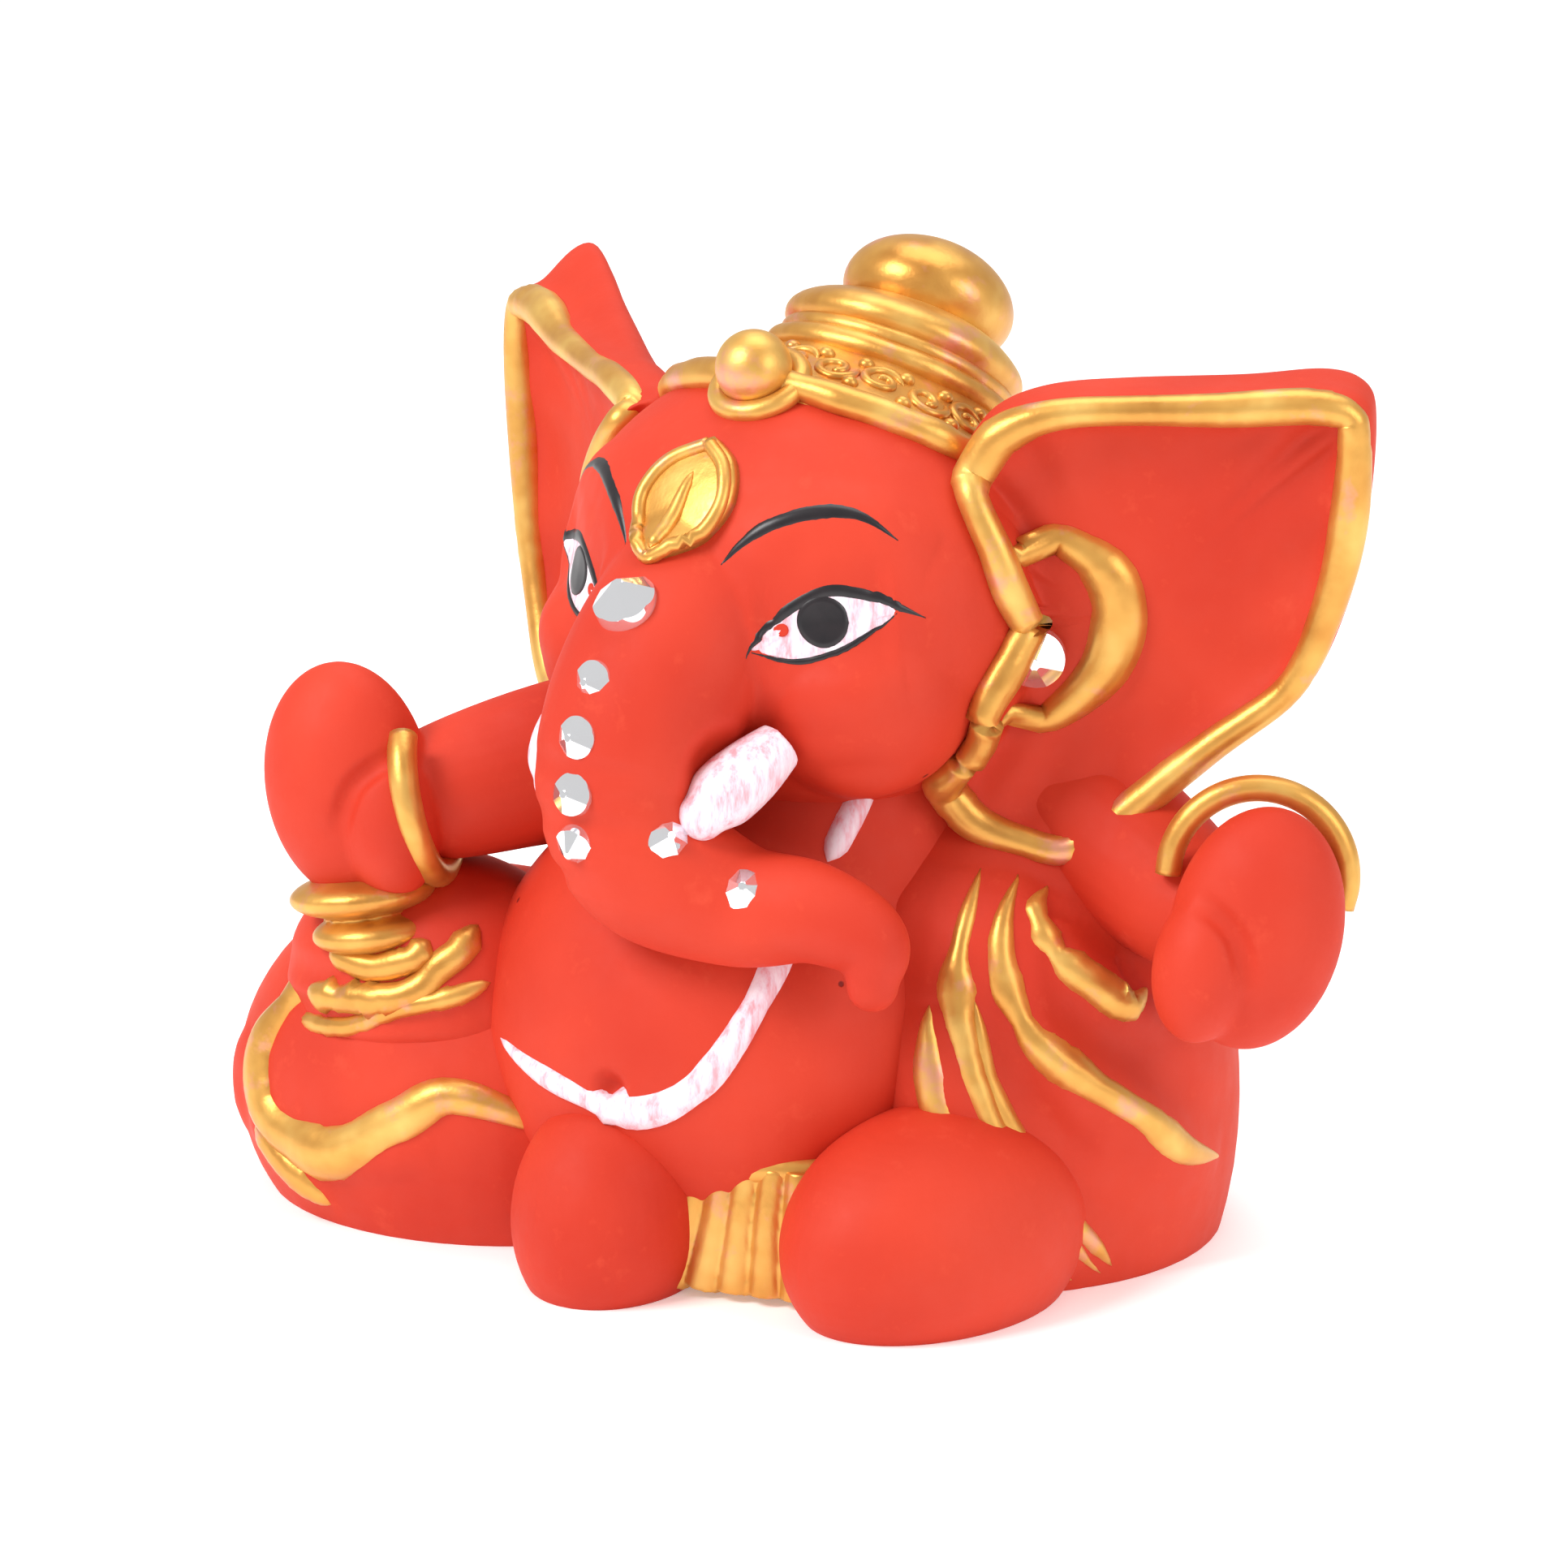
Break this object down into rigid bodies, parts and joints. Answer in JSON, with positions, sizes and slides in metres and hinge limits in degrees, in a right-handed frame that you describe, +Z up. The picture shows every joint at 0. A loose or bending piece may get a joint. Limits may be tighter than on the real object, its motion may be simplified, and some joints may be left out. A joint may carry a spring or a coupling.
{
  "type": "ganesha idol",
  "caption": "Small seated Ganesha figure, cast and painted, with large spread ears, a crown leaning back, a curled trunk and glued crystals, for a shelf, altar or dashboard",
  "frame": {"origin": "middle of the bounding box, on the resting plane", "axes": "+Z up; the figure's body faces -Y and its own left side is +X; the head is turned towards -X"},
  "size_m": [0.0906, 0.0578, 0.0749],
  "materials": {
    "red_paint": "matte vermilion distemper over a poured plaster-resin casting",
    "gold_paint": "satin gold metallic paint, brushed by hand over the same casting",
    "pearl_paint": "pinkish white paint with visible brush streaks, over the same casting",
    "crystal": "clear faceted glass with a silver foil back"
  },
  "bodies": {
    "root": {"boss_collar": "gold_paint", "brow_crystal": "crystal", "brow_pendant": "gold_paint", "crown_boss": "gold_paint", "crown_knob": "gold_paint", "crown_panel": "gold_paint", "crown_ridge": "gold_paint", "crown_rim": "gold_paint", "crown_turban": "gold_paint", "dhoti_pleats": "gold_paint", "head": "red_paint", "left_arm": "red_paint", "left_bangle": "gold_paint", "left_drape": "red_paint", "left_ear": "red_paint", "left_ear_crescent": "gold_paint", "left_ear_crystal": "crystal", "left_ear_rim": "gold_paint", "left_fold_1": "gold_paint", "left_fold_2": "gold_paint", "left_fold_3": "gold_paint", "left_fold_4": "gold_paint", "left_foot": "red_paint", "left_hand": "red_paint", "left_tusk": "pearl_paint", "pleat_waistband": "gold_paint", "right_arm": "red_paint", "right_bangle": "gold_paint", "right_ear": "red_paint", "right_ear_crescent": "gold_paint", "right_ear_crystal": "crystal", "right_ear_rim": "gold_paint", "right_foot": "red_paint", "right_hand": "red_paint", "right_hem_line": "gold_paint", "right_knee_band": "gold_paint", "right_shawl": "red_paint", "right_thigh": "red_paint", "right_tusk": "pearl_paint", "right_wrist_cuff": "gold_paint", "sacred_thread": "pearl_paint", "sacred_thread_chest": "pearl_paint", "shawl_coil_high": "gold_paint", "shawl_coil_low": "gold_paint", "torso": "red_paint", "trunk": "red_paint", "trunk_crystal_1": "crystal", "trunk_crystal_2": "crystal", "trunk_crystal_3": "crystal", "trunk_crystal_4": "crystal", "trunk_crystal_5": "crystal", "trunk_crystal_6": "crystal"}
  },
  "joints": []
}
